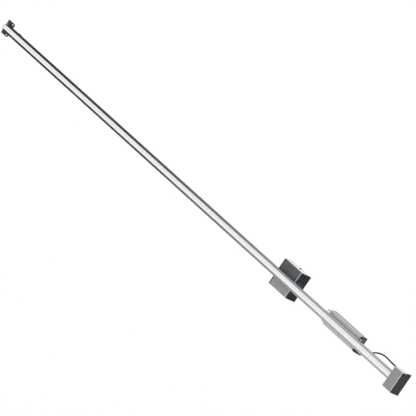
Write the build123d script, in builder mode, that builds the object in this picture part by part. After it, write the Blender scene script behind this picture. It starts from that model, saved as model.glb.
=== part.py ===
"""Rodless belt-driven linear actuator: barrel, carriage, drive head, controller and foot.

Frame: origin midway between the foot's two bolt holes, on the mounting plane.
+X runs along the barrel towards the drive head, +Z away from the mounting plane.
The carriage and the controller hang on the -Z side of the barrel, where its slot is.
"""
import math
import os

from build123d import *

os.makedirs("parts", exist_ok=True)

# ---- driving dimensions (mm) ----
axis_z = 20.0               # barrel axis above the mounting plane
barrel_r = 20.0
bore_r = 16.8
barrel_flat_z = 3.0         # flat back of the barrel
ledge_z = 7.5               # floor inside the barrel, where the rollers run
slot_half = 4.5
barrel_far = -6.0
barrel_near = 3074.0
port_r = 3.2                # screw ports inside the barrel
port_ring_r = 15.8
port_angles = (-25, 40, 140, 205)
m3_tap_r = 1.25
m3_r = 1.5                  # M3 shanks
m4_r = 2.0
bolt_tap_r = 2.5            # threaded mounting holes for M6

foot_holes_y = 27.0         # half of the hole spacing
foot_hole_r = 4.5           # clearance for M8
foot_t = 3.0
foot_far = -39.0
foot_near = 15.0
foot_half = 35.5
foot_screw_x = 6.0
ear_r = 10.5                # rounded ears around the foot's holes

carriage_x = 2252.0         # middle of the carriage at rest
carriage_len = 130.0
carriage_half = 64.0
carriage_top = -11.0
carriage_bottom = -71.0
cap_t = 6.0
trim_t = 4.0
wall = 4.0

belt_z = 26.0               # height of both pulley axes
belt_r = 8.12               # pitch radius of a 17-tooth, 3 mm pitch pulley
belt_t = 1.4
belt_half = 4.5
idler_x = 16.0

head_far = 3070.0
head_near = 3129.0
head_half = 48.7
head_top = 51.0
drive_x = 3099.0

box_far = 2574.0            # controller
box_near = 2788.0
box_half = 36.0
box_depth = 40.0
panel_t = 4.0
box_wall = 3.0

travel_far = 2110.0         # carriage travel towards the foot
travel_near = 210.0         # carriage travel towards the drive head

cable_r = 3.2
gland_z = -8.0
gland_y = -32.0
head_gland_y = 39.0
head_gland_z = 8.0
gland_reach = 14.0
head_gland_reach = 12.0

fit = 0.05                  # radial running clearance
gap = 0.3                   # clearance between moving pieces


# ---- helpers ----
def save(builder, name):
    """Label a finished piece and write its STEP file."""
    builder.part.label = name
    export_step(builder.part, f"parts/{name}.step")


def block(x_range, y_range, z_range, mode=Mode.ADD):
    """A box given by its limits along X, Y and Z."""
    middle = [(low + high) / 2 for low, high in (x_range, y_range, z_range)]
    with Locations(tuple(middle)):
        Box(x_range[1] - x_range[0], y_range[1] - y_range[0], z_range[1] - z_range[0], mode=mode)


def discs(plane, points, radius, amount, mode=Mode.ADD):
    """Round bars or holes of one size, drawn on a plane and extruded along its normal."""
    with BuildSketch(plane) as rounds:
        with Locations(*points):
            Circle(radius)
    extrude(rounds.sketch, amount=amount, mode=mode)


def screws(plane, points, head_r, head_h, shank_r, shank_len):
    """Hexagon-socket screws: heads stand on the plane, shanks go down its normal."""
    discs(plane, points, head_r, head_h)
    discs(plane, points, shank_r, -shank_len)
    with BuildSketch(plane.offset(head_h)) as sockets:
        with Locations(*points):
            RegularPolygon(head_r * 0.52, 6)
    extrude(sockets.sketch, amount=-head_h * 0.6, mode=Mode.SUBTRACT)


def across(x, z, y=0.0):
    """A plane across the machine at height z: local x is X, local y is Z, normal -Y."""
    return Plane(origin=(x, y, z), x_dir=(1, 0, 0), z_dir=(0, -1, 0))


def facing_near(x):
    """A plane square to the barrel that faces the drive head: local x is Y, local y is Z."""
    return Plane(origin=(x, 0, 0), x_dir=(0, 1, 0), z_dir=(1, 0, 0))


def facing_far(x):
    """A plane square to the barrel that faces the foot: local x is -Y, local y is Z."""
    return Plane(origin=(x, 0, 0), x_dir=(0, -1, 0), z_dir=(-1, 0, 0))


def facing_down(z):
    """A level plane that faces down: local x is X, local y is -Y."""
    return Plane(origin=(0, 0, z), x_dir=(1, 0, 0), z_dir=(0, 0, -1))


port_points = [
    (port_ring_r * math.cos(math.radians(a)), axis_z + port_ring_r * math.sin(math.radians(a)))
    for a in port_angles
]


def barrel_outline(radius, flat_z):
    """Round outline with a flat back, on the active sketch."""
    with Locations((0, axis_z)):
        Circle(radius)
    with Locations((0, flat_z - radius)):
        Rectangle(4 * radius, 2 * radius, mode=Mode.SUBTRACT)


# ---- barrel ----
with BuildPart() as barrel:
    with BuildSketch(facing_near(barrel_far)):
        barrel_outline(barrel_r, barrel_flat_z)
        with BuildSketch(Plane.XY, mode=Mode.PRIVATE) as bore:
            barrel_outline(bore_r, ledge_z)
            with Locations(*port_points):
                Circle(port_r, mode=Mode.SUBTRACT)
        add(bore.sketch, mode=Mode.SUBTRACT)
        with Locations((0, ledge_z - 4)):
            Rectangle(2 * slot_half, 12, mode=Mode.SUBTRACT)
        with Locations(*port_points):
            Circle(m3_tap_r, mode=Mode.SUBTRACT)
    extrude(amount=barrel_near - barrel_far)
save(barrel, "barrel")

# ---- far end: cap, foot bracket, idler ----
cap_flange_t = 3.0
cap_dome_r = 15.6
cap_flange_far = barrel_far - cap_flange_t
cap_far = barrel_far - 14.0
cap_spigot = 6.0
with BuildPart() as end_cap:
    with BuildSketch(facing_near(cap_flange_far)):
        barrel_outline(barrel_r, barrel_flat_z)
    extrude(amount=cap_flange_t)
    with BuildSketch(facing_near(cap_far)):
        barrel_outline(cap_dome_r, barrel_flat_z + 3)
    extrude(amount=cap_flange_far - cap_far)
    fillet(end_cap.edges().group_by(Axis.X)[0], 2.5)
    discs(facing_near(cap_far), port_points, port_r, cap_flange_far - cap_far, Mode.SUBTRACT)
    discs(facing_near(barrel_far), [(0, belt_z)], 7.5, cap_spigot)
    discs(facing_near(cap_far), [(0, belt_z)], 5.0, 5.5, Mode.SUBTRACT)
    discs(facing_near(cap_far), [(0, belt_z)], 2.6, barrel_far + cap_spigot - cap_far, Mode.SUBTRACT)
    discs(facing_near(cap_flange_far), port_points, m3_r + 0.1, cap_flange_t, Mode.SUBTRACT)
save(end_cap, "far_end_cap")

foot_sink = 2.2
cheek_in = barrel_r + 0.2
cheek_t = 3.5
cheek_top = 17.0
cheek_far = -24.0
cheek_near = -8.0
with BuildPart() as foot:
    with BuildSketch():
        with Locations((foot_far / 2, 0)):
            Rectangle(-foot_far, 2 * foot_half)
        chamfer(vertices().group_by(Axis.X)[0], 2)
        with Locations(((foot_far + foot_near) / 2, 0)):
            Rectangle(foot_near - foot_far, 33)
        with Locations((foot_near - ear_r, foot_half - ear_r), (foot_near - ear_r, ear_r - foot_half)):
            Circle(ear_r)
        with Locations((0, foot_holes_y), (0, -foot_holes_y)):
            Circle(foot_hole_r, mode=Mode.SUBTRACT)
    extrude(amount=foot_t)
    for side in (1, -1):
        y_range = sorted((side * cheek_in, side * (cheek_in + cheek_t)))
        block((cheek_far, cheek_near), y_range, (0, cheek_top))
        cross_edges = foot.edges().filter_by(Axis.Y)
        fillet(cross_edges.filter_by_position(Axis.Z, cheek_top - 0.1, cheek_top + 0.1), 6)
    discs(Plane.XY, [(foot_screw_x, 0)], m4_r + 0.1, foot_t, Mode.SUBTRACT)
    discs(Plane.XY, [(foot_screw_x, 0)], 3.7, foot_sink, Mode.SUBTRACT)
save(foot, "foot_bracket")

yoke_x = idler_x - 14.0
yoke_half = 8.6
with BuildPart() as yoke:
    block((yoke_x, yoke_x + 5), (-yoke_half, yoke_half), (belt_z - 6, belt_z + 6))
    for y_range in ((6.8, yoke_half), (-yoke_half, -6.8)):
        block((yoke_x, idler_x + 5), y_range, (belt_z - 5, belt_z + 5))
    discs(across(0, 0, 10), [(idler_x, belt_z)], 2.0, 20, Mode.SUBTRACT)
    discs(facing_near(yoke_x), [(0, belt_z)], 2.1, 5, Mode.SUBTRACT)
save(yoke, "idler_yoke")

with BuildPart() as idler_axle:
    discs(across(0, 0, yoke_half), [(idler_x, belt_z)], 2.0, 2 * yoke_half)
save(idler_axle, "idler_axle")

with BuildPart() as tension_screw:
    screws(facing_far(cap_far + 5.5), [(0, belt_z)], 4.2, 4.0, 2.1, yoke_x - cap_far - 0.5)
save(tension_screw, "tension_screw")


def pulley(x, bore_radius):
    """Belt pulley with two flanges, on the active part."""
    inner = belt_r - belt_t / 2 - gap
    discs(across(0, 0, belt_half + 2), [(x, belt_z)], inner, 2 * belt_half + 4)
    for y in (belt_half + 2, -belt_half - 0.6):
        discs(across(0, 0, y), [(x, belt_z)], belt_r + 0.8, 1.4)
    discs(across(0, 0, belt_half + 2), [(x, belt_z)], bore_radius, 2 * belt_half + 4, Mode.SUBTRACT)


with BuildPart() as idler_pulley:
    pulley(idler_x, 2.0 + fit)
save(idler_pulley, "idler_pulley")

with BuildPart() as belt:
    with BuildSketch(across(0, 0, belt_half)):
        with Locations(((idler_x + drive_x) / 2, belt_z)):
            SlotCenterToCenter(drive_x - idler_x, 2 * belt_r + belt_t)
            SlotCenterToCenter(drive_x - idler_x, 2 * belt_r - belt_t, mode=Mode.SUBTRACT)
    extrude(amount=2 * belt_half)
save(belt, "toothed_belt")

# ---- end stops under the barrel ----
spine_end = 61.0
stop_top = barrel_flat_z
bumper_far_x = carriage_x - carriage_len / 2 - travel_far - 0.5
bumper_near_x = carriage_x + carriage_len / 2 + travel_near + 0.5
bumper_t = 10.0
stop_len = 18.0
stop_centres = (bumper_far_x - bumper_t - stop_len / 2, bumper_near_x + bumper_t + stop_len / 2)
box_screws_x = (2612.0, 2750.0)

with BuildPart() as end_stops:
    for x in stop_centres:
        block((x - stop_len / 2, x + stop_len / 2), (-14, 14), (-21, stop_top))
    discs(facing_down(-21), [(x, 0) for x in stop_centres], 4.0, -16, Mode.SUBTRACT)
    discs(facing_down(-21), [(x, 0) for x in stop_centres], m4_r + 0.1, -24, Mode.SUBTRACT)
    chamfer(end_stops.edges().filter_by(Axis.X).group_by(Axis.Z)[0], 1.5)
save(end_stops, "end_stops")

with BuildPart() as bumpers:
    for x in (bumper_far_x - bumper_t / 2, bumper_near_x + bumper_t / 2):
        block((x - bumper_t / 2, x + bumper_t / 2), (-11, 11), (-21, -11.5))
save(bumpers, "end_stop_bumpers")

nut_t = 3.5
with BuildPart() as slot_nuts:
    for x in (foot_screw_x,) + stop_centres + box_screws_x:
        block((x - 7, x + 7), (-8, 8), (ledge_z, ledge_z + nut_t))
        block((x - 7, x + 7), (1 - slot_half, slot_half - 1), (barrel_flat_z + 1, ledge_z))
        discs(facing_down(barrel_flat_z + 1), [(x, 0)], m4_r, -8, Mode.SUBTRACT)
save(slot_nuts, "slot_nuts")

with BuildPart() as slot_screws:
    screws(facing_down(-5), [(x, 0) for x in stop_centres], 3.5, 4.0, m4_r, 14)
    screws(facing_down(-box_wall), [(x, 0) for x in box_screws_x], 3.5, 4.0, m4_r, 14)
save(slot_screws, "slot_screws")

with BuildPart() as foot_screw:
    screws(facing_down(foot_sink), [(foot_screw_x, 0)], 3.5, foot_sink - 0.2, m4_r, 8)
save(foot_screw, "foot_screw")

# ---- drive head: belt pulley with its motor on the same shaft ----
cover_t = 5.0
gasket_t = 3.0
housing_near = head_near - cover_t - gasket_t
side_wall = 4.0
floor_t = 5.0
roof_t = 4.0
back_wall = 6.0
post = 7.0
cavity_half = head_half - side_wall
cavity_low = floor_t
cavity_high = head_top - roof_t
bearing_t = 4.0
bearing_r = 8.0
shaft_r = 4.0
stator_r = 20.0
head_bolts = ((head_far + 9, 34), (head_far + 9, -34))
cover_screw_y = 42.0
cover_screw_z = (cavity_low + 3, cavity_high - 3)
cover_screw_points = [(y, z) for y in (-cover_screw_y, cover_screw_y) for z in cover_screw_z]

with BuildPart() as head_housing:
    block((head_far, housing_near), (-head_half, head_half), (0, head_top))
    cavity_x = (head_far + back_wall, housing_near)
    block(cavity_x, (-cavity_half, cavity_half), (cavity_low, cavity_high), Mode.SUBTRACT)
    for y, z in cover_screw_points:
        block(cavity_x, (y - post / 2, y + post / 2), (z - post / 2, z + post / 2))
    discs(Plane.XY, head_bolts, 6.0, 11)
    discs(Plane.XY, head_bolts, bolt_tap_r, 9, Mode.SUBTRACT)
    discs(facing_near(housing_near), cover_screw_points, m3_tap_r, -16, Mode.SUBTRACT)
    with BuildSketch(facing_near(head_far)):
        barrel_outline(barrel_r + 0.1, barrel_flat_z - 0.1)
    extrude(amount=barrel_near - head_far, mode=Mode.SUBTRACT)
    block((head_far, head_far + back_wall), (-6.5, 6.5), (15, 37), Mode.SUBTRACT)
    discs(facing_near(head_far), port_points, m3_r + 0.1, back_wall, Mode.SUBTRACT)
    discs(facing_near(head_far), [(head_gland_y, head_gland_z)], 4.5, back_wall, Mode.SUBTRACT)
    long_edges = head_housing.edges().filter_by(Axis.X)
    chamfer(long_edges.filter_by(lambda e: abs(e.center().Y) > head_half - 0.1), 1.0)
save(head_housing, "head_housing")

with BuildPart() as gasket:
    gasket_x = (housing_near, housing_near + gasket_t)
    block(gasket_x, (-head_half, head_half), (0, head_top))
    block(gasket_x, (-cavity_half, cavity_half), (cavity_low, cavity_high), Mode.SUBTRACT)
    for y, z in cover_screw_points:
        block(gasket_x, (y - post / 2, y + post / 2), (z - post / 2, z + post / 2))
    discs(facing_near(housing_near), cover_screw_points, m3_r + 0.1, gasket_t, Mode.SUBTRACT)
save(gasket, "head_edge_strip")

lug_y = head_half + 5.0
lug_z = 29.0
with BuildPart() as head_cover:
    with BuildSketch(facing_near(head_near - cover_t)):
        with BuildLine():
            Polyline(
                (-head_half, 0),
                (lug_y, 0),
                (lug_y, lug_z - 9),
                (head_half, lug_z),
                (head_half, head_top),
                (-head_half, head_top),
                close=True,
            )
        make_face()
    extrude(amount=cover_t)
    fillet(head_cover.edges().filter_by(Axis.X).sort_by(Axis.Z)[-2:], 2)
    chamfer(head_cover.faces().sort_by(Axis.X)[-1].edges(), 0.8)
    with Locations(facing_near(head_near)):
        with Locations(*cover_screw_points):
            CounterBoreHole(m3_r + 0.1, 3.0, 2.5, cover_t)
save(head_cover, "head_cover")

with BuildPart() as long_screws:
    screws(facing_far(cap_flange_far), [(-y, z) for y, z in port_points], 2.75, 2.0, m3_tap_r, 18)
    screws(facing_near(head_far + back_wall), port_points, 2.75, 2.0, m3_tap_r, 18)
    screws(facing_near(head_near - 2.5), cover_screw_points, 2.75, 2.0, m3_tap_r, 18)
save(long_screws, "m3_long_screws")

with BuildPart() as drive_shaft:
    discs(across(0, 0, cavity_half - 0.3), [(drive_x, belt_z)], shaft_r, 2 * cavity_half - 0.6)
save(drive_shaft, "drive_shaft")

with BuildPart() as drive_pulley:
    pulley(drive_x, shaft_r)
save(drive_pulley, "drive_pulley")

with BuildPart() as shaft_bearings:
    for y in (cavity_half, bearing_t - cavity_half):
        discs(across(0, 0, y), [(drive_x, belt_z)], bearing_r, bearing_t)
    discs(across(0, 0, cavity_half), [(drive_x, belt_z)], shaft_r + fit, 2 * cavity_half, Mode.SUBTRACT)
save(shaft_bearings, "shaft_bearings")

rotor_r = 11.0
with BuildPart() as stator:
    discs(across(0, 0, -14), [(drive_x, belt_z)], stator_r, 22)
    block((drive_x - 20, drive_x + 20), (-14, -11), (cavity_low, cavity_high))
    discs(across(0, 0, -11), [(drive_x, belt_z)], rotor_r + 0.4, 25, Mode.SUBTRACT)
save(stator, "motor_stator")

with BuildPart() as rotor:
    discs(across(0, 0, -15), [(drive_x, belt_z)], rotor_r, 20)
    discs(across(0, 0, -15), [(drive_x, belt_z)], shaft_r, 20, Mode.SUBTRACT)
save(rotor, "motor_rotor")

with BuildPart() as encoder_disc:
    discs(across(0, 0, 22), [(drive_x, belt_z)], 12, 2)
    discs(across(0, 0, 22), [(drive_x, belt_z)], shaft_r, 2, Mode.SUBTRACT)
save(encoder_disc, "encoder_disc")

with BuildPart() as encoder_board:
    block((drive_x - 18, drive_x + 18), (26, 27.6), (cavity_low, cavity_high))
    discs(across(0, 0, 27.6), [(drive_x, belt_z)], 6, 1.6, Mode.SUBTRACT)
    block((drive_x + 7, drive_x + 12), (24, 26), (belt_z - 3, belt_z + 3))
save(encoder_board, "encoder_board")


def gland(plane, y, z, reach, stem):
    """Cable gland on the active part: stem through the wall, nut, and tapered collar."""
    discs(plane, [(y, z)], 4.4, -stem)
    with BuildSketch(plane) as nut:
        with Locations((y, z)):
            RegularPolygon(6.0, 6)
    extrude(nut.sketch, amount=5)
    discs(plane.offset(5), [(y, z)], 5.0, reach - 5)
    fillet(faces().sort_by(Axis.X)[0 if plane.z_dir.X < 0 else -1].edges(), 1.2)


with BuildPart() as head_gland:
    gland(facing_far(head_far), -head_gland_y, head_gland_z, head_gland_reach, back_wall)
save(head_gland, "head_cable_gland")

# ---- controller on the back of the barrel ----
rail_y = 26.0
rail_half = 2.5
rail_t = 2.4
rail_far = 2557.0
rail_near = box_near - 2.0
rail_screws_x = (box_far + 14, (box_far + box_near) / 2, box_near - 14)
rail_screws = [(x, y) for x in rail_screws_x for y in (-rail_y, rail_y)]
panel_screw_points = [(y, z) for y in (-31, 31) for z in (5 - box_depth, -20)]
saddle_half = 20.0

with BuildPart() as box_housing:
    with BuildSketch(facing_near(box_far + panel_t)):
        with Locations((0, -box_depth / 2)):
            Rectangle(2 * box_half, box_depth)
            chamfer(vertices(), 2.0)
            Rectangle(2 * (box_half - box_wall), box_depth - 2 * box_wall, mode=Mode.SUBTRACT)
        with Locations(*panel_screw_points):
            Rectangle(8, 8)
        with Locations(*panel_screw_points):
            Circle(m3_tap_r, mode=Mode.SUBTRACT)
    extrude(amount=box_near - box_far - panel_t)
    discs(facing_down(-box_wall), [(x, 0) for x in box_screws_x], m4_r + 0.1, -box_wall, Mode.SUBTRACT)
    discs(facing_down(-box_wall), [(x, -y) for x, y in rail_screws], m3_tap_r, -box_wall, Mode.SUBTRACT)
save(box_housing, "controller_housing")

with BuildPart() as saddles:
    for x in box_screws_x:
        block((x - 15, x + 15), (-saddle_half, saddle_half), (0, barrel_flat_z))
    discs(Plane.XY, [(x, 0) for x in box_screws_x], m4_r + 0.1, barrel_flat_z, Mode.SUBTRACT)
save(saddles, "controller_saddles")

with BuildPart() as rails:
    for y in (rail_y, -rail_y):
        block((rail_far, rail_near), (y - rail_half, y + rail_half), (0, rail_t))
    chamfer(rails.edges().filter_by(Axis.Z).group_by(Axis.X)[0], 1.5)
    discs(Plane.XY, rail_screws, m3_tap_r + 0.1, rail_t, Mode.SUBTRACT)
save(rails, "controller_rails")

with BuildPart() as rail_fasteners:
    screws(Plane.XY.offset(rail_t), rail_screws, 2.2, 1.6, m3_tap_r, rail_t + box_wall)
save(rail_fasteners, "rail_screws")


def panel(plane):
    """End panel of the controller: the housing's own outline, with its screw holes."""
    with BuildSketch(plane) as outline:
        with Locations((0, -box_depth / 2)):
            Rectangle(2 * box_half, box_depth)
        chamfer(outline.vertices(), 2.0)
    extrude(outline.sketch, amount=panel_t)
    discs(plane, panel_screw_points, m3_r + 0.1, panel_t, Mode.SUBTRACT)


port_y = 28.3
window_y = 20.4
socket_r = 4.0
port_depth = 9.0
window_r = 2.6

with BuildPart() as far_panel:
    panel(facing_near(box_far))
save(far_panel, "controller_far_panel")

with BuildPart() as near_panel:
    panel(facing_near(box_near))
    discs(facing_near(box_near), [(port_y, gland_z)], socket_r, panel_t, Mode.SUBTRACT)
    discs(facing_near(box_near), [(window_y, gland_z)], window_r, panel_t, Mode.SUBTRACT)
    discs(facing_near(box_near), [(gland_y, gland_z)], 4.5, panel_t, Mode.SUBTRACT)
save(near_panel, "controller_near_panel")

with BuildPart() as panel_screws:
    screws(facing_near(box_near + panel_t), panel_screw_points, 2.75, 1.8, m3_tap_r, 14)
    screws(facing_far(box_far), [(-y, z) for y, z in panel_screw_points], 2.75, 1.8, m3_tap_r, 14)
save(panel_screws, "panel_screws")

board_z = -30.0
with BuildPart() as board:
    block((box_far + 12, box_near - 10), (-26.5, 26.5), (board_z - 1.6, board_z))
save(board, "controller_board")

with BuildPart() as capacitors:
    discs(Plane.XY.offset(board_z), [(box_far + 40 + 18 * i, -14) for i in range(3)], 7.0, 22)
    discs(Plane.XY.offset(board_z), [(box_far + 110, 15)], 5.0, 16)
    block((box_far + 30, box_far + 90), (6, 26), (board_z, board_z + 9))
save(capacitors, "board_components")

with BuildPart() as port:
    discs(facing_near(box_near + panel_t), [(port_y, gland_z)], socket_r, -12)
    discs(facing_near(box_near + panel_t), [(port_y, gland_z)], socket_r + 0.9, 1.5)
    discs(facing_near(box_near + panel_t + 1.5), [(port_y, gland_z)], 3.2, -port_depth, Mode.SUBTRACT)
    port_floor = box_near + panel_t + 1.5 - port_depth
    discs(facing_near(port_floor), [(port_y + 1.2, gland_z), (port_y - 1.2, gland_z)], 0.5, 4)
save(port, "signal_port")

with BuildPart() as window:
    discs(facing_near(box_near - 2), [(window_y, gland_z)], window_r, panel_t + 2.8)
    fillet(window.edges().filter_by(GeomType.CIRCLE).group_by(Axis.X)[-1], 0.8)
save(window, "status_window")

with BuildPart() as box_gland:
    gland(facing_near(box_near + panel_t), gland_y, gland_z, gland_reach, panel_t)
save(box_gland, "controller_cable_gland")

# ---- motor lead: crosses under the barrel, then follows it to the drive head ----
cable_start = box_near + panel_t + gland_reach
cable_end = head_far - head_gland_reach
cable_points = [
    Vector(cable_start, gland_y, gland_z),
    Vector(2835, gland_y, gland_z),
    Vector(2860, 0, -15),
    Vector(2900, 28, -14),
    Vector(2950, 40, -8),
    Vector(3005, head_gland_y, head_gland_z),
    Vector(cable_end, head_gland_y, head_gland_z),
]


def bend_radii(points):
    """The largest radius that each corner's two runs allow."""
    radii = []
    for before, corner, after in zip(points, points[1:], points[2:]):
        arriving = corner - before
        leaving = after - corner
        half_turn = math.radians(arriving.get_angle(leaving)) / 2
        shorter = min(arriving.length, leaving.length)
        radii.append(0.45 * shorter / math.tan(half_turn))
    return radii


cable_radii = bend_radii(cable_points)
print("motor lead radii", [round(r, 1) for r in cable_radii])
with BuildPart() as cable:
    with BuildLine() as route:
        FilletPolyline(*cable_points, radius=cable_radii)
    with BuildSketch(facing_near(cable_start)):
        with Locations((gland_y, gland_z)):
            Circle(cable_r)
    sweep(path=route.wires()[0])
save(cable, "motor_cable")
cable_length = route.wires()[0].length
print("motor lead length", round(cable_length, 1), "volume ratio",
      round(cable.part.volume / (math.pi * cable_r ** 2 * cable_length), 4))

# ---- carriage: spine, guide shoes, rollers and belt clamp inside the barrel ----
spine_half = 4.0
spine_top = 14.5
roller_r = 5.0
roller_z = ledge_z + roller_r + 0.03
roller_in = 5.0
roller_out = 9.0
roller_x = (carriage_x - 45, carriage_x + 45)
axle_r = 1.5
spine_len = 55.0
foot_plate_z = -19.0
clamp_x = (carriage_x - 24, carriage_x + 24)
clamp_floor = 16.85
clamp_rail = 18.95
clamp_top = 22.0
clamp_screw_points = [(carriage_x + x, y) for x in (-18, 18) for y in (-7.7, 7.7)]
base_screw_points = [(carriage_x - 12, 0), (carriage_x + 12, 0)]
base_sink = 1.8
spine_bolts = [(carriage_x + x, y) for x in (-40, 40) for y in (-13, 13)]

with BuildPart() as spine:
    spine_x = (carriage_x - spine_len, carriage_x + spine_len)
    block(spine_x, (-spine_half, spine_half), (foot_plate_z, spine_top))
    block(spine_x, (-20, 20), (foot_plate_z - 5, foot_plate_z))
    discs(across(0, 0, spine_half), [(x, roller_z) for x in roller_x], axle_r, 2 * spine_half, Mode.SUBTRACT)
    discs(Plane.XY.offset(foot_plate_z), spine_bolts, m4_r, -5, Mode.SUBTRACT)
    discs(Plane.XY.offset(spine_top), base_screw_points, m3_tap_r, -9, Mode.SUBTRACT)
    fillet(spine.edges().filter_by(Axis.Y).group_by(Axis.Z)[-1], 1.0)
save(spine, "carriage_spine")

with BuildPart() as shoes:
    for low, high in ((-spine_end, -spine_len), (spine_len, spine_end)):
        block((carriage_x + low, carriage_x + high), (fit - slot_half, slot_half - fit), (-8, ledge_z - 0.5))
save(shoes, "guide_shoes")

for name, x in (("far_rollers", roller_x[0]), ("near_rollers", roller_x[1])):
    with BuildPart() as rollers:
        for y in (roller_out, -roller_in):
            discs(across(0, 0, y), [(x, roller_z)], roller_r, roller_out - roller_in)
        discs(across(0, 0, roller_out), [(x, roller_z)], axle_r + fit, 2 * roller_out, Mode.SUBTRACT)
    save(rollers, name)

with BuildPart() as roller_axles:
    for x in roller_x:
        discs(across(0, 0, roller_out + 0.2), [(x, roller_z)], axle_r, 2 * roller_out + 0.4)
        for y in (roller_out + 0.9, -roller_out - 0.2):
            discs(across(0, 0, y), [(x, roller_z)], 2.6, 0.7)
save(roller_axles, "roller_axles")

with BuildPart() as clamp_base:
    block(clamp_x, (-10, 10), (spine_top, clamp_rail))
    block(clamp_x, (-5.4, 5.4), (clamp_floor, clamp_rail), Mode.SUBTRACT)
    discs(Plane.XY.offset(clamp_rail), clamp_screw_points, m3_tap_r, -4.45, Mode.SUBTRACT)
    discs(Plane.XY.offset(spine_top), base_screw_points, m3_r, 2.35, Mode.SUBTRACT)
    discs(Plane.XY.offset(clamp_floor), base_screw_points, 2.4, -base_sink, Mode.SUBTRACT)
save(clamp_base, "belt_clamp_base")

with BuildPart() as clamp_plate:
    block(clamp_x, (-10, 10), (clamp_rail, clamp_top))
    discs(Plane.XY.offset(clamp_top), clamp_screw_points, m3_r + 0.1, -(clamp_top - clamp_rail), Mode.SUBTRACT)
save(clamp_plate, "belt_clamp_plate")

with BuildPart() as clamp_screws:
    screws(Plane.XY.offset(clamp_top), clamp_screw_points, 2.2, 2.5, m3_tap_r, 7.4)
    sunk_floor = Plane.XY.offset(clamp_floor - base_sink)
    screws(sunk_floor, base_screw_points, 2.3, base_sink - 0.1, m3_tap_r, 8)
save(clamp_screws, "belt_clamp_screws")

# ---- carriage: chassis, covers and load plate ----
body_far = carriage_x - carriage_len / 2 + cap_t
body_near = carriage_x + carriage_len / 2 - cap_t - trim_t
plate_z = carriage_top - 4.0
load_plate_z = carriage_bottom + 6.0
post_len = 14.0
post_in = 48.0
cap_screw_points = [(y, z) for y in (-56.5, 56.5) for z in (-59, -25)]
load_screw_points = [(x, y) for x in (body_far + 7, body_near - 7) for y in (-51.5, 51.5)]
load_bolts = [(carriage_x + x, y) for x in (-40, 40) for y in (-40, 40)]
button_x = 2256.0
button_z = -52.0
button_r = 4.0
stem_r = 2.0
inner_half = carriage_half - wall
inner_z = (load_plate_z, plate_z - wall)

with BuildPart() as chassis:
    block((body_far, body_near), (-carriage_half, carriage_half), (load_plate_z, plate_z))
    block((body_far, body_near), (-inner_half, inner_half), inner_z, Mode.SUBTRACT)
    for x_range in ((body_far, body_far + post_len), (body_near - post_len, body_near)):
        for y_range in ((post_in, inner_half), (-inner_half, -post_in)):
            block(x_range, y_range, inner_z)
    block(
        (carriage_x - spine_len - gap, carriage_x + spine_len + gap),
        (-spine_half - gap, spine_half + gap),
        (plate_z - wall, plate_z),
        Mode.SUBTRACT,
    )
    discs(Plane.XY.offset(plate_z), spine_bolts, m4_r, -wall, Mode.SUBTRACT)
    discs(facing_near(body_near), cap_screw_points, m3_tap_r, -12, Mode.SUBTRACT)
    discs(facing_near(body_far), cap_screw_points, m3_tap_r, 12, Mode.SUBTRACT)
    discs(Plane.XY.offset(load_plate_z), load_screw_points, m3_tap_r, 14, Mode.SUBTRACT)
    discs(across(0, 0, carriage_half), [(button_x, button_z)], button_r + fit, wall, Mode.SUBTRACT)
save(chassis, "carriage_chassis")

front_plates = (
    ("front_plate_lit_side", 6, carriage_half),
    ("front_plate_shade_side", -carriage_half, -6),
)
for name, low, high in front_plates:
    with BuildPart() as front_plate:
        block((body_far, body_near), (low, high), (plate_z, carriage_top))
        chamfer(front_plate.edges().filter_by(Axis.X).group_by(Axis.Z)[-1], 0.8)
        discs(Plane.XY.offset(plate_z), spine_bolts, 2.6, 3, Mode.SUBTRACT)
    save(front_plate, name)

with BuildPart() as spine_screws:
    screws(facing_down(foot_plate_z - 5), [(x, -y) for x, y in spine_bolts], 3.5, 4.0, m4_r, 11)
save(spine_screws, "spine_screws")

with BuildPart() as load_plate:
    block((body_far, body_near), (-carriage_half, carriage_half), (carriage_bottom, load_plate_z))
    discs(Plane.XY.offset(carriage_bottom), load_bolts, bolt_tap_r, 6, Mode.SUBTRACT)
    discs(Plane.XY.offset(carriage_bottom), load_screw_points, m3_r + 0.1, 6, Mode.SUBTRACT)
    discs(Plane.XY.offset(carriage_bottom), load_screw_points, 3.0, 3, Mode.SUBTRACT)
save(load_plate, "load_plate")

with BuildPart() as strip:
    block((body_near, body_near + trim_t), (-carriage_half, carriage_half), (carriage_bottom, carriage_top))
    block((body_near, body_near + trim_t), (-59, 59), (carriage_bottom + 5, carriage_top - 5), Mode.SUBTRACT)
save(strip, "carriage_edge_strip")

plug_points = [(15.0, -28.5), (12.0, -47.0)]
plug_r = 3.5


def carriage_cap(plane):
    """End cap of the carriage, with sunk screw holes."""
    middle_z = (carriage_top + carriage_bottom) / 2
    with BuildSketch(plane) as outline:
        with Locations((0, middle_z)):
            Rectangle(2 * carriage_half, carriage_top - carriage_bottom)
        fillet(outline.vertices(), 1.5)
    extrude(outline.sketch, amount=cap_t)
    outer = plane.offset(cap_t)
    discs(plane, cap_screw_points, m3_r + 0.1, cap_t, Mode.SUBTRACT)
    discs(outer, cap_screw_points, 3.0, -2.5, Mode.SUBTRACT)


with BuildPart() as cap_near:
    carriage_cap(facing_near(body_near + trim_t))
    discs(facing_near(body_near + trim_t), plug_points, plug_r, cap_t, Mode.SUBTRACT)
save(cap_near, "carriage_near_cap")

with BuildPart() as cap_far:
    carriage_cap(facing_far(body_far))
save(cap_far, "carriage_far_cap")

with BuildPart() as plugs:
    discs(facing_near(body_near + trim_t), plug_points, plug_r, cap_t)
    discs(facing_near(body_near + trim_t + cap_t), plug_points, plug_r + 0.8, 1.2)
save(plugs, "carriage_plugs")

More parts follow.
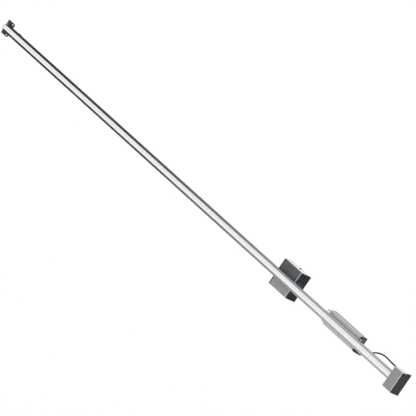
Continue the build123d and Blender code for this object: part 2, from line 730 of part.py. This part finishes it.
with BuildPart() as carriage_screws:
    screws(facing_near(carriage_x + carriage_len / 2 - 2.5), cap_screw_points, 2.75, 2.0, m3_tap_r, 14)
    screws(facing_far(carriage_x - carriage_len / 2 + 2.5), cap_screw_points, 2.75, 2.0, m3_tap_r, 14)
    load_screw_heads = [(x, -y) for x, y in load_screw_points]
    screws(facing_down(carriage_bottom + 3), load_screw_heads, 2.75, 2.0, m3_tap_r, 14)
save(carriage_screws, "carriage_screws")

# ---- sprung button on the side of the carriage, with its switch ----
flange_in = 57.0
guide_y = 46.0
with BuildPart() as button:
    discs(across(0, 0, carriage_half + 5), [(button_x, button_z)], button_r, carriage_half + 5 - flange_in)
    discs(across(0, 0, flange_in + 2.6), [(button_x, button_z)], 6.0, 2.6)
    discs(across(0, 0, flange_in), [(button_x, button_z)], stem_r, flange_in - 43)
    fillet(button.edges().group_by(Axis.Y)[-1], 0.8)
save(button, "release_button")

with BuildPart() as guide:
    block((button_x - 11, button_x + 11), (guide_y, guide_y + 2), (button_z - 8, button_z + 8))
    for x_range in ((button_x - 11, button_x - 8), (button_x + 8, button_x + 11)):
        block(x_range, (guide_y, inner_half), (button_z - 8, button_z + 8))
    discs(across(0, 0, guide_y + 2), [(button_x, button_z)], stem_r + fit, 2, Mode.SUBTRACT)
save(guide, "button_guide")

with BuildPart() as spring:
    spring_len = flange_in - guide_y - 2
    discs(across(0, 0, flange_in), [(button_x, button_z)], 4.2, spring_len)
    discs(across(0, 0, flange_in), [(button_x, button_z)], 2.8, spring_len, Mode.SUBTRACT)
save(spring, "button_spring")

with BuildPart() as switch:
    block((button_x - 6, button_x + 6), (29, 39.6), (load_plate_z, button_z + 4))
save(switch, "button_switch")
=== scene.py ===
"""Looks of the rodless linear actuator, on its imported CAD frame. Everything is in metres."""
import math

import bmesh
import bpy
from mathutils import Matrix, Vector


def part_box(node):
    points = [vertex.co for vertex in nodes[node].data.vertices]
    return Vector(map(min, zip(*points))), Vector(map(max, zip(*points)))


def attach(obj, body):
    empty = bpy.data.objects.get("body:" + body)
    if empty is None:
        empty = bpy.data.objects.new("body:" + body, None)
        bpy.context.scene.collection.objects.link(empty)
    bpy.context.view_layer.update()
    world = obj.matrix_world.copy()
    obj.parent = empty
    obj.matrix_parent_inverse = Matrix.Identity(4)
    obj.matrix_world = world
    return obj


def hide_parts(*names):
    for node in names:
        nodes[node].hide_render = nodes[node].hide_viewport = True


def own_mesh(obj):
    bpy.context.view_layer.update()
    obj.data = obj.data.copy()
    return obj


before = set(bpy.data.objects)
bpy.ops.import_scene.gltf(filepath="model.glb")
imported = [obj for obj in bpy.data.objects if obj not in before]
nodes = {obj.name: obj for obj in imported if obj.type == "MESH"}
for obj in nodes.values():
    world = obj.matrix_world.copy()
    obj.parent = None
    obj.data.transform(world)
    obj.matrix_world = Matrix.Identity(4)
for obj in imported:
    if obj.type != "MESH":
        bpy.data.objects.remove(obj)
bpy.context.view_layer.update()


# ---- camera ----
def make_camera():
    """Telephoto camera at the reference view: from the drive-head end, above, rolled to the side."""
    azimuth = math.radians(102.61)
    elevation = math.radians(46.43)
    roll = math.radians(-65.07)
    aim = Vector((1.649, 0.0, -0.015))
    distance = 17.37
    back = Vector((
        math.sin(azimuth) * math.cos(elevation),
        -math.cos(azimuth) * math.cos(elevation),
        math.sin(elevation),
    ))
    right = Vector((math.cos(azimuth), math.sin(azimuth), 0.0))
    turn = Matrix((right, back.cross(right), back)).transposed() @ Matrix.Rotation(roll, 3, "Z")
    camera = bpy.data.objects.new("camera", bpy.data.cameras.new("camera"))
    bpy.context.scene.collection.objects.link(camera)
    camera.data.sensor_width = 36.0
    camera.data.lens = 346.2
    camera.data.clip_start = 0.5
    camera.data.clip_end = 400.0
    camera.matrix_world = Matrix.Translation(aim + back * distance) @ turn.to_4x4()
    bpy.context.scene.camera = camera
    bpy.context.scene.view_settings.view_transform = "Standard"


# ---- shader steps ----
def shader_tree(name):
    """A new material with its node tree and its Principled shader."""
    mat = bpy.data.materials.new(name)
    mat.use_nodes = True
    return mat, mat.node_tree, mat.node_tree.nodes["Principled BSDF"]


def noise(tree, scale, stretch=(1.0, 1.0, 1.0), detail=4.0):
    """Noise in the object's own coordinates, stretched along its axes."""
    coords = tree.nodes.new("ShaderNodeTexCoord")
    mapping = tree.nodes.new("ShaderNodeMapping")
    mapping.inputs["Scale"].default_value = stretch
    pattern = tree.nodes.new("ShaderNodeTexNoise")
    pattern.inputs["Scale"].default_value = scale
    pattern.inputs["Detail"].default_value = detail
    tree.links.new(coords.outputs["Object"], mapping.inputs["Vector"])
    tree.links.new(mapping.outputs["Vector"], pattern.inputs["Vector"])
    return pattern.outputs["Fac"]


def own_axes(tree, output):
    """The X, Y and Z of the object's own coordinates, or of its normal, as separate values."""
    coords = tree.nodes.new("ShaderNodeTexCoord")
    axes = tree.nodes.new("ShaderNodeSeparateXYZ")
    tree.links.new(coords.outputs[output], axes.inputs["Vector"])
    return axes.outputs


def ramp(tree, factor, low, high, start=0.3, stop=0.7):
    """A colour that goes from low to high as the factor goes from start to stop."""
    blend = tree.nodes.new("ShaderNodeValToRGB")
    blend.color_ramp.elements[0].position = start
    blend.color_ramp.elements[0].color = (*low, 1.0)
    blend.color_ramp.elements[1].position = stop
    blend.color_ramp.elements[1].color = (*high, 1.0)
    tree.links.new(factor, blend.inputs["Fac"])
    return blend.outputs["Color"]


def spread(tree, factor, low, high, start=0.3, stop=0.7):
    """A value that goes from low to high as the factor goes from start to stop."""
    span = tree.nodes.new("ShaderNodeMapRange")
    span.inputs["From Min"].default_value = start
    span.inputs["From Max"].default_value = stop
    span.inputs["To Min"].default_value = low
    span.inputs["To Max"].default_value = high
    tree.links.new(factor, span.inputs["Value"])
    return span.outputs["Result"]


def math_node(tree, operation, first, second=0.0):
    """One arithmetic step on one or two values."""
    step = tree.nodes.new("ShaderNodeMath")
    step.operation = operation
    for socket, value in zip(step.inputs, (first, second)):
        if isinstance(value, float):
            socket.default_value = value
        else:
            tree.links.new(value, socket)
    return step.outputs["Value"]


def mix(tree, factor, first, second):
    """The first colour where the factor is 0, and the second, linked or fixed, where it is 1."""
    blend = tree.nodes.new("ShaderNodeMix")
    blend.data_type = "RGBA"
    tree.links.new(factor, blend.inputs["Factor"])
    tree.links.new(first, blend.inputs["A"])
    if isinstance(second, tuple):
        blend.inputs["B"].default_value = (*second, 1.0)
    else:
        tree.links.new(second, blend.inputs["B"])
    return blend.outputs["Result"]


def edge_wear_and_light_mask(tree, radius):
    """1 on sharp edges, patchily, and 0 on open faces: where edges get a second colour, rubbed wear with a
    painted highlight where lighter, painted shade where darker.
    """
    rounded = tree.nodes.new("ShaderNodeBevel")
    rounded.samples = 4
    rounded.inputs["Radius"].default_value = radius
    geometry = tree.nodes.new("ShaderNodeNewGeometry")
    dot = tree.nodes.new("ShaderNodeVectorMath")
    dot.operation = "DOT_PRODUCT"
    tree.links.new(rounded.outputs["Normal"], dot.inputs[0])
    tree.links.new(geometry.outputs["Normal"], dot.inputs[1])
    edge = spread(tree, dot.outputs["Value"], 1.0, 0.0, 0.85, 0.995)      # the normals part only near an edge
    return math_node(tree, "MULTIPLY", edge, spread(tree, noise(tree, 180.0), 0.2, 1.0))


def shade(colour, factor):
    """The colour, lighter or darker by a factor."""
    return tuple(min(1.0, channel * factor) for channel in colour)


# ---- finishes ----
ALONG_X = (0.02, 1.0, 1.0)          # grain drawn out along an extrusion
ALONG_Y = (1.0, 0.05, 1.0)          # grain drawn out across the part by a cutter


def finish(name, colour, rough, grain=900.0, stretch=(1.0, 1.0, 1.0), metallic=0.0, vary=0.1,
           relief=0.15, gloss=0.5, edge_wear_and_light=None, edge=0.0006):
    """Paint, plastic or metal with a fine grain, uneven gloss, soft mottling and edges in a second colour:
    rubbed wear with a painted highlight where lighter, painted shade where darker.
    """
    mat, tree, shader = shader_tree(name)
    fine = noise(tree, grain, stretch, 2.0)
    base = ramp(tree, noise(tree, 14.0, stretch), shade(colour, 1 - vary), shade(colour, 1 + vary))
    if edge_wear_and_light:
        # edges in a second colour: rubbed wear with a painted highlight where lighter, painted shade where
        # darker
        base = mix(tree, edge_wear_and_light_mask(tree, edge), base, edge_wear_and_light)
    tree.links.new(base, shader.inputs["Base Color"])
    tree.links.new(spread(tree, fine, rough * 0.8, min(1.0, rough * 1.25)), shader.inputs["Roughness"])
    grain_bump = tree.nodes.new("ShaderNodeBump")
    grain_bump.inputs["Strength"].default_value = relief
    grain_bump.inputs["Distance"].default_value = 0.0002
    tree.links.new(fine, grain_bump.inputs["Height"])
    tree.links.new(grain_bump.outputs["Normal"], shader.inputs["Normal"])
    shader.inputs["Metallic"].default_value = metallic
    shader.inputs["Specular IOR Level"].default_value = gloss
    return mat


def repaint(mat, factor, colour):
    """A second colour over the material's own, where the factor is 1."""
    base = mat.node_tree.nodes["Principled BSDF"].inputs["Base Color"]
    own_colour = base.links[0].from_socket
    mat.node_tree.links.new(mix(mat.node_tree, factor, own_colour, colour), base)


def window_lens():
    """Frosted lens over a lit white lamp."""
    mat = finish("window_lens", (0.85, 0.86, 0.88), 0.18, 500.0, vary=0.03, relief=0.03)
    shader = mat.node_tree.nodes["Principled BSDF"]
    shader.inputs["Emission Color"].default_value = (0.95, 0.97, 1.0, 1.0)
    shader.inputs["Emission Strength"].default_value = 0.6
    return mat


def housing_paint_and_side_light():
    """Grey paint, with the drive head's two side faces in light grey: painted light standing in for the side
    light's wash on the +Y face, given to the -Y face alike.
    """
    # lighter edges: rubbed wear with a painted highlight
    mat = finish("grey_paint_and_painted_light_sides", (0.24, 0.243, 0.25), 0.42, 800.0, vary=0.06, edge_wear_and_light=(0.42, 0.42, 0.42))
    tree = mat.node_tree
    just_inside = 0.001
    side_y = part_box("head_housing")[1].y - just_inside
    distance = math_node(tree, "ABSOLUTE", own_axes(tree, "Object")["Y"])
    painted_side_light = ramp(tree, noise(tree, 30.0), (0.68, 0.68, 0.67), (0.72, 0.72, 0.71))
    # the side faces past side_y in light grey: painted light, paler than the grey front
    repaint(mat, math_node(tree, "GREATER_THAN", distance, side_y), painted_side_light)
    return mat


def silver_extrusion():
    """Brushed silver, with the chamfers that run down its corners painted bright: a painted highlight."""
    mat = finish("silver_extrusion", (0.46, 0.495, 0.525), 0.4, 900.0, ALONG_X, metallic=0.6, vary=0.05,
                 relief=0.1)
    tree = mat.node_tree
    normal = own_axes(tree, "Normal")
    slant = math_node(tree, "ABSOLUTE", math_node(tree, "MULTIPLY", normal["Y"], normal["Z"]))
    least_slant = 0.2               # a flat face has 0, a 45 degree chamfer 0.5
    painted_chamfer_highlight = ramp(tree, noise(tree, 60.0), (0.84, 0.86, 0.88), (0.92, 0.93, 0.94))
    # painted highlight on the chamfers, brighter than the flat faces
    repaint(mat, math_node(tree, "GREATER_THAN", slant, least_slant), painted_chamfer_highlight)
    return mat


def circuit_board():
    """Green solder mask over a faint grid of tracks."""
    mask = (0.012, 0.09, 0.035)
    mat = finish("solder_mask", mask, 0.28, 500.0, vary=0.2)
    tree = mat.node_tree
    coords = tree.nodes.new("ShaderNodeTexCoord")
    tracks = tree.nodes.new("ShaderNodeTexBrick")
    tracks.inputs["Scale"].default_value = 160.0
    tracks.inputs["Color1"].default_value = (*mask, 1.0)
    tracks.inputs["Color2"].default_value = (0.016, 0.11, 0.045, 1.0)
    tracks.inputs["Mortar"].default_value = (0.04, 0.19, 0.08, 1.0)
    tree.links.new(coords.outputs["Object"], tracks.inputs["Vector"])
    tree.links.new(tracks.outputs["Color"], tree.nodes["Principled BSDF"].inputs["Base Color"])
    return mat


def make_materials():
    """The object's finishes, by name."""
    # lighter edge colours: rubbed wear with a painted highlight
    pale_rub_and_highlight = (0.45, 0.45, 0.45)
    dim_rub_and_highlight = (0.16, 0.16, 0.16)
    # darker edge colour: painted shade along the edges
    painted_edge_shade = (0.018, 0.020, 0.022)
    return {
        "barrel": finish("barrel_anodised", (0.84, 0.84, 0.84), 0.16, 700.0, ALONG_X, metallic=1.0, vary=0.03,
                         relief=0.05),
        # lighter edges here and on the bracket and black mouldings: rubbed wear with a painted highlight
        "light": finish("light_plastic", (0.62, 0.60, 0.59), 0.45, edge_wear_and_light=(0.8, 0.8, 0.8)),
        # pale paint, made paler as painted light for the side light's wash on the +Y face; its darker edges
        # are painted shade
        "enamel_and_side_light": finish("pale_enamel_and_side_light", (0.70, 0.70, 0.69), 0.4, 700.0, vary=0.03, edge_wear_and_light=(0.30, 0.31, 0.33),
                         edge=0.0016),
        "bracket": finish("black_bracket", (0.022, 0.021, 0.019), 0.34, 600.0, vary=0.25, edge_wear_and_light=dim_rub_and_highlight),
        "black": finish("black_moulding", (0.009, 0.014, 0.022), 0.5, 1400.0, vary=0.2, relief=0.3, gloss=0.3,
                        edge_wear_and_light=dim_rub_and_highlight),
        # darker edges on the cover and the panel: painted shade
        "cover": finish("cover_moulding", (0.030, 0.029, 0.033), 0.5, 1400.0, vary=0.15, relief=0.3,
                        gloss=0.35, edge_wear_and_light=painted_edge_shade, edge=0.002),
        "panel": finish("panel_moulding", (0.095, 0.090, 0.100), 0.5, 1400.0, vary=0.2, relief=0.3,
                        edge_wear_and_light=painted_edge_shade, edge=0.002),
        "plug": finish("plug_moulding", (0.10, 0.11, 0.12), 0.45, 1400.0, vary=0.2, relief=0.3),
        "gold": finish("gold_plate", (0.83, 0.62, 0.27), 0.25, 1500.0, metallic=1.0),
        # darker edges on the slate plate: painted shade outlining it
        "slate": finish("slate_paint", (0.062, 0.074, 0.086), 0.42, 800.0, vary=0.15, edge_wear_and_light=painted_edge_shade, edge=0.002),
        # lighter edges: rubbed wear with a painted highlight
        "grey": finish("grey_paint", (0.26, 0.275, 0.285), 0.42, 800.0, vary=0.06, edge_wear_and_light=pale_rub_and_highlight),
        "silver": silver_extrusion(),
        "machined": finish("machined_aluminium", (0.62, 0.62, 0.63), 0.32, 1100.0, ALONG_Y, metallic=1.0,
                           vary=0.06),
        "steel": finish("zinc_steel", (0.48, 0.48, 0.47), 0.28, 1500.0, metallic=1.0),
        "blackened": finish("blackened_steel", (0.05, 0.05, 0.05), 0.35, 1500.0, metallic=1.0, vary=0.2),
        "rubber": finish("black_rubber", (0.012, 0.012, 0.012), 0.6, 1200.0, vary=0.2, relief=0.25,
                         gloss=0.3),
        "lead": finish("lead_jacket", (0.003, 0.003, 0.003), 0.6, 1600.0, vary=0.2, gloss=0.05),
        "pom": finish("white_pom", (0.75, 0.74, 0.70), 0.35, 1200.0, vary=0.03),
        "lens": window_lens(),
        "grey_and_painted_light_sides": housing_paint_and_side_light(),
        "board": circuit_board(),
    }


NODE_LOOKS = {
    "barrel": "barrel",
    "light": "far_end_cap head_edge_strip carriage_edge_strip button_guide",
    "enamel_and_side_light": "carriage_chassis load_plate",
    "bracket": "foot_bracket",
    "black": "carriage_near_cap carriage_far_cap release_button button_switch signal_port board_components"
             " head_cable_gland controller_cable_gland",
    "cover": "head_cover",
    "panel": "controller_near_panel",
    "plug": "carriage_plugs",
    "slate": "front_plate_lit_side",
    "grey": "front_plate_shade_side",
    "grey_and_painted_light_sides": "head_housing",
    "silver": "controller_housing controller_rails controller_far_panel",
    "machined": "idler_yoke idler_pulley end_stops drive_pulley controller_saddles carriage_spine"
                " belt_clamp_base belt_clamp_plate encoder_disc",
    "steel": "foot_screw idler_axle tension_screw slot_nuts slot_screws drive_shaft shaft_bearings"
             " motor_stator motor_rotor roller_axles belt_clamp_screws spine_screws button_spring"
             " rail_screws",
    "blackened": "m3_long_screws panel_screws carriage_screws",
    "rubber": "toothed_belt end_stop_bumpers",
    "pom": "guide_shoes far_rollers near_rollers",
    "lens": "status_window",
    "board": "encoder_board controller_board",
}


def paint_nodes(looks):
    """Every CAD node gets its finish, except the lead's solid, which is replaced."""
    for look, names in NODE_LOOKS.items():
        for name in names.split():
            nodes[name].data.materials.clear()
            nodes[name].data.materials.append(looks[look])


# ---- motor lead ----
def make_lead(looks):
    """The lead from the controller's gland, under the barrel, to the drive head."""
    radius = 0.0032
    route = [
        (2.806, -0.032, -0.008),
        (2.835, -0.032, -0.008),
        (2.860, 0.000, -0.015),
        (2.900, 0.028, -0.014),
        (2.950, 0.040, -0.008),
        (3.005, 0.039, 0.008),
        (3.058, 0.039, 0.008),
    ]
    curve = bpy.data.curves.new("motor_lead", "CURVE")
    curve.dimensions = "3D"
    curve.bevel_depth = radius
    curve.bevel_resolution = 6
    curve.resolution_u = 16
    curve.use_fill_caps = True
    line = curve.splines.new("NURBS")
    line.points.add(len(route) - 1)
    for point, place in zip(line.points, route):
        point.co = (*place, 1.0)
    line.order_u = 3
    line.use_endpoint_u = True
    curve.materials.append(looks["lead"])
    lead = bpy.data.objects.new("motor_lead", curve)
    bpy.context.scene.collection.objects.link(lead)
    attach(lead, "beam")
    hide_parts("motor_cable")


# ---- detailed pieces ----
AROUND = 96                         # points round a turned piece
SMOOTH_ANGLE = math.radians(35)     # sharper edges than this stay crisp


def lofted(name, rings, look, body, replaces, smooth=True, closed=False):
    """A skin through rings of points, closed at both ends or joined into a loop."""
    mesh = bpy.data.meshes.new(name)
    shape = bmesh.new()
    rows = [[shape.verts.new(point) for point in ring] for ring in rings]
    pairs = list(zip(rows, rows[1:]))
    if closed:
        pairs.append((rows[-1], rows[0]))
    else:
        shape.faces.new(rows[0])
        shape.faces.new(rows[-1])
    for one, two in pairs:
        for i in range(len(one)):
            j = (i + 1) % len(one)
            shape.faces.new((one[i], one[j], two[j], two[i]))
    bmesh.ops.recalc_face_normals(shape, faces=shape.faces)
    for face in shape.faces:
        face.smooth = smooth and len(face.verts) == 4
    for edge in shape.edges:
        edge.smooth = edge.calc_face_angle(0.0) < SMOOTH_ANGLE
    shape.to_mesh(mesh)
    shape.free()
    mesh.materials.append(look)
    piece = bpy.data.objects.new(name, mesh)
    bpy.context.scene.collection.objects.link(piece)
    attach(piece, body)
    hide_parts(*replaces)
    return piece


def turned_rings(base, toward, profile, outline=None):
    """Rings about a line parallel to X: the profile is (distance along, radius), an outline may cut in."""
    rings = []
    for along, radius in profile:
        x = base[0] + toward * along
        ring = []
        for i in range(AROUND):
            angle = 2 * math.pi * i / AROUND
            r = outline(angle, radius) if outline else radius
            ring.append((x, base[1] + r * math.cos(angle), base[2] + r * math.sin(angle)))
        rings.append(ring)
    return rings


def hexagon(corner_r):
    """A hexagon's outline, cut to a given radius where its corners are chamfered."""
    def outline(angle, radius):
        off_flat = (angle % (math.pi / 3)) - math.pi / 6
        return min(radius, corner_r * math.cos(math.pi / 6) / math.cos(off_flat))
    return outline


def ribbed(depth, count):
    """A round outline with grip grooves of a given depth."""
    steepness = 4                   # of the grooves' sides

    def outline(angle, radius):
        return radius - depth * (0.5 + 0.5 * math.tanh(steepness * math.cos(count * angle)))
    return outline


def make_gland(name, node, toward, reach, looks):
    """A cable gland: hexagonal body, ribbed dome nut and rubber seal, from the panel outward."""
    low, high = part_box(node)
    middle = (low + high) / 2
    mouth = high.x if toward > 0 else low.x
    base = (mouth - toward * reach, middle.y, middle.z)
    stem_r = 0.0044
    hex_r, hex_chamfer_r, hex_end = 0.0060, 0.0055, 0.0048
    nut_r, nut_end = 0.0050, reach - 0.0040
    body = [
        (-0.004, stem_r), (0.0, stem_r), (0.0, 0.0050), (0.0, hex_chamfer_r), (0.0006, hex_r),
        (0.0042, hex_r), (hex_end, hex_chamfer_r), (hex_end, 0.0048),
    ]
    nut = [(0.0049, 0.0047), (0.0051, nut_r), (nut_end, nut_r)]
    dome = [(nut_end, 0.00465), (reach - 0.0022, 0.00455), (reach - 0.0010, 0.0042), (reach - 0.0004, 0.0038)]
    seal = [(reach - 0.0012, 0.0037), (reach - 0.0002, 0.0037), (reach, 0.0035)]
    parts = (
        ("body", body, hexagon(hex_r), "black", "black_plastic"),
        ("nut", nut, ribbed(depth=0.00035, count=16), "black", "black_plastic"),
        ("dome", dome, None, "black", "black_plastic"),
        ("seal", seal, None, "rubber", "rubber"),
    )
    for part, profile, outline, look, slot in parts:
        rings = turned_rings(base, toward, profile, outline)
        lofted(f"{name}_{part}", rings, looks[look], "beam", (node,))


def make_signal_port(looks):
    """The round signal socket: threaded shell, dark insert and two gold pins, from the panel outward."""
    low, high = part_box("signal_port")
    middle = (low + high) / 2
    flange_t, flange_r, body_r = 0.0015, 0.0049, 0.0040
    bore_r, groove_r = 0.0032, 0.0030
    thread_start, thread_pitch, thread_turns = 0.0010, 0.00075, 7
    pin_r, pin_offset = 0.0005, 0.0012
    base = (high.x - flange_t, middle.y, middle.z)
    shell = [
        (-0.012, body_r), (0.0, body_r), (0.0, flange_r), (0.0011, flange_r), (flange_t, 0.0045),
        (flange_t, 0.0033),
    ]
    for turn in range(thread_turns):
        crest = thread_start - thread_pitch * turn
        shell += [(crest, bore_r), (crest - 0.00035, groove_r)]
    shell += [(-0.0060, bore_r), (-0.0074, bore_r)]
    insert = [(-0.0073, 0.0031), (-0.0064, 0.0029), (-0.0062, 0.0027)]
    pin = [(-0.0066, pin_r), (-0.0040, pin_r), (-0.0036, 0.0004), (-0.0035, 0.0002)]
    lofted("signal_port_shell", turned_rings(base, 1, shell), looks["black"], "beam", ("signal_port",))
    lofted("signal_port_insert", turned_rings(base, 1, insert), looks["plug"], "beam", ("signal_port",))
    for number, offset in ((1, pin_offset), (2, -pin_offset)):
        foot = (base[0], base[1] + offset, base[2])
        rings = turned_rings(foot, 1, pin)
        lofted(f"signal_pin_{number}", rings, looks["gold"], "beam", ("signal_port",))


def make_belt(looks):
    """The toothed belt round both pulleys, with trapezoidal teeth inside."""
    low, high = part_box("toothed_belt")
    outer = (high.z - low.z) / 2
    back, tooth = outer - 0.0008, outer - 0.0014        # radii inside the backing and at the teeth's tips
    pitch, pitch_r = 0.003, outer - 0.0007
    middle_z = (low.z + high.z) / 2
    idler_x, drive_x = low.x + outer, high.x - outer
    run = drive_x - idler_x
    arc = math.pi * pitch_r
    half_loop = run + arc
    pitches = round(2 * half_loop / pitch)
    tooth_profile = ((0.0, back), (0.25, back), (0.38, tooth), (0.87, tooth))   # share of a pitch, radius
    rings = []
    for i in range(pitches):
        for part, inner in tooth_profile:
            gone = (i + part) / pitches * 2 * half_loop
            lower = gone >= half_loop
            gone -= half_loop * lower
            side = -1 if lower else 1
            turn = max(0.0, gone - run) / arc * math.pi
            pulley_x = idler_x if lower else drive_x
            centre = Vector((pulley_x - side * (run - min(gone, run)), 0.0, middle_z))
            out = Vector((side * math.sin(turn), 0.0, side * math.cos(turn)))
            corners = ((outer, low.y), (outer, high.y), (inner, high.y), (inner, low.y))
            rings.append([centre + out * r + Vector((0.0, y, 0.0)) for r, y in corners])
    lofted("toothed_belt_loop", rings, looks["rubber"], "beam", ("toothed_belt",), smooth=False,
           closed=True)


def make_spring(looks):
    """The coil spring behind the button, built at one length; the real one shortens as the button is pressed.
    """
    low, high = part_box("button_spring")
    middle = (low + high) / 2
    wire_r, coil_r = 0.00045, 0.0034
    turns, steps, sides = 5.5, 132, 10
    closing = 0.6                   # how much closer the coils lie at the two ends
    full = high.y - low.y
    length = full - 2 * wire_r
    rings = []
    for i in range(steps + 1):
        part = i / steps
        angle = 2 * math.pi * turns * part
        eased = part - closing * math.sin(2 * math.pi * part) / (2 * math.pi)
        out = Vector((math.cos(angle), 0.0, math.sin(angle)))
        centre = Vector((middle.x, low.y + wire_r + eased * length, middle.z)) + out * coil_r
        ring = []
        for j in range(sides):
            around = 2 * math.pi * j / sides
            ring.append(centre + wire_r * (out * math.cos(around) + Vector((0.0, math.sin(around), 0.0))))
        rings.append(ring)
    spring = lofted("button_coil_spring", rings, looks["steel"], "carriage", ("button_spring",))
    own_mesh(spring)


def make_bumpers(looks):
    """Grooved rubber buffers on the two end stops."""
    low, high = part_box("end_stop_bumpers")
    middle = (low + high) / 2
    half_y, half_z = (high.y - low.y) / 2, (high.z - low.z) / 2
    length, corner_r, corner_steps = 0.010, 0.0016, 6
    bands = (                       # distance along, inset: a groove between two flanges
        (0.0, 0.0010), (0.0008, 0.0), (0.0032, 0.0), (0.0040, 0.0009),
        (0.0060, 0.0009), (0.0068, 0.0), (0.0092, 0.0), (length, 0.0010),
    )
    for name, start in (("bumper_far_side", low.x), ("bumper_near_side", high.x - length)):
        rings = []
        for along, inset in bands:
            ring = []
            for quarter, (side_y, side_z) in enumerate(((1, 1), (-1, 1), (-1, -1), (1, -1))):
                for step in range(corner_steps + 1):
                    angle = math.pi / 2 * (quarter + step / corner_steps)
                    y = side_y * (half_y - corner_r) + (corner_r - inset) * math.cos(angle)
                    z = side_z * (half_z - corner_r) + (corner_r - inset) * math.sin(angle)
                    ring.append((start + along, middle.y + y, middle.z + z))
            rings.append(ring)
        lofted(name, rings, looks["rubber"], "beam", ("end_stop_bumpers",))


def make_details(looks):
    """Pieces that CAD holds as plain solids, with their real surface detail."""
    make_gland("controller_gland", "controller_cable_gland", 1, 0.014, looks)
    make_gland("head_gland", "head_cable_gland", -1, 0.012, looks)
    make_signal_port(looks)
    make_belt(looks)
    make_spring(looks)
    make_bumpers(looks)


# ---- studio ----
FLOOR_Z = -1.5
SHELL_R = 6.0
SHELL_AXIS_Z = 0.02
CAMERA_SIDE = math.radians(11.7)    # where the camera stands round the barrel, from +Z towards +Y


def stage_object(name, mesh, mat):
    """A studio piece that isn't part of the object."""
    mesh.materials.append(mat)
    piece = bpy.data.objects.new(name, mesh)
    bpy.context.scene.collection.objects.link(piece)
    return piece


def make_floor():
    """A plain pale floor well below the object."""
    half = 150.0
    mesh = bpy.data.meshes.new("floor")
    corners = [(-half, -half, FLOOR_Z), (half, -half, FLOOR_Z), (half, half, FLOOR_Z), (-half, half, FLOOR_Z)]
    mesh.from_pydata(corners, [], [(0, 1, 2, 3)])
    paint = finish("studio_floor", (0.94, 0.94, 0.94), 0.9, 3.0, vary=0.005, relief=0.0, gloss=0.0)
    floor = stage_object("floor", mesh, paint)
    floor.visible_glossy = False


def shell_strip(name, start, stop, mat):
    """Part of a round shell that only reflections see. Its angles run from +Z towards +Y."""
    steps = 48
    far, near = -9.0, 12.0
    points = []
    for i in range(steps + 1):
        angle = start + (stop - start) * i / steps
        for x in (far, near):
            points.append((x, SHELL_R * math.sin(angle), SHELL_AXIS_Z + SHELL_R * math.cos(angle)))
    mesh = bpy.data.meshes.new(name)
    mesh.from_pydata(points, [], [(2 * i, 2 * i + 1, 2 * i + 3, 2 * i + 2) for i in range(steps)])
    shell = stage_object(name, mesh, mat)
    shell.visible_camera = False
    shell.visible_diffuse = False
    shell.visible_shadow = False
    shell.visible_transmission = False
    shell.visible_volume_scatter = False


def graded_light(name, levels):
    """A glow that changes along X: levels are (x, colour). Colours are set once every stop is in place."""
    mat, tree, shader = shader_tree(name)
    tree.nodes.remove(shader)
    low, high = levels[0][0], levels[-1][0]
    place = spread(tree, own_axes(tree, "Object")["X"], 0.0, 1.0, low, high)
    blend = tree.nodes.new("ShaderNodeValToRGB")
    stops = blend.color_ramp.elements
    while len(stops) < len(levels):
        stops.new(0.5)
    for stop, (x, _) in zip(stops, levels):
        stop.position = (x - low) / (high - low)
    for stop, (_, colour) in zip(stops, levels):
        stop.color = (*colour, 1.0)
    tree.links.new(place, blend.inputs["Fac"])
    glow = tree.nodes.new("ShaderNodeEmission")
    tree.links.new(blend.outputs["Color"], glow.inputs["Color"])
    tree.links.new(glow.outputs["Emission"], tree.nodes["Material Output"].inputs["Surface"])
    return mat


def make_reflections():
    """What polished metal mirrors: a dim shell below and beside it, darkest past the foot, and a grey
    seam above."""
    dim = graded_light("dim_shell", [
        (-5.6, (0.042, 0.031, 0.023)),
        (-4.3, (0.095, 0.083, 0.070)),
        (-3.4, (0.24, 0.228, 0.210)),
        (-2.4, (0.50, 0.49, 0.46)),
        (-1.0, (0.56, 0.545, 0.51)),
    ])
    lit_edge = CAMERA_SIDE + math.radians(48)
    shade_edge = CAMERA_SIDE - math.radians(64)
    shell_strip("dim_shell", lit_edge, shade_edge + 2 * math.pi, dim)
    seam = graded_light("seam_shell", [(-5.6, (0.30, 0.27, 0.24)), (-1.0, (0.45, 0.43, 0.39))])
    middle = CAMERA_SIDE + math.radians(6)
    half_width = math.radians(2.5)
    shell_strip("seam_shell", middle - half_width, middle + half_width, seam)


def make_light():
    """White surroundings, with a soft light on the +Y side, a little below the object."""
    world = bpy.data.worlds.new("studio")
    world.use_nodes = True
    surroundings = world.node_tree.nodes["Background"]
    surroundings.inputs["Color"].default_value = (1.0, 1.0, 1.0, 1.0)
    surroundings.inputs["Strength"].default_value = 1.06
    bpy.context.scene.world = world
    light = bpy.data.lights.new("side_light", "AREA")
    light.shape = "RECTANGLE"
    light.size = 5.0
    light.size_y = 0.8
    light.energy = 95.0
    lamp = bpy.data.objects.new("side_light", light)
    bpy.context.scene.collection.objects.link(lamp)
    lamp.location = (1.6, 6.0, -0.8)
    lamp.rotation_euler = (math.radians(-90), 0.0, 0.0)
    lamp.visible_glossy = False


make_camera()
looks = make_materials()
paint_nodes(looks)
make_lead(looks)
make_details(looks)
make_floor()
make_reflections()
make_light()
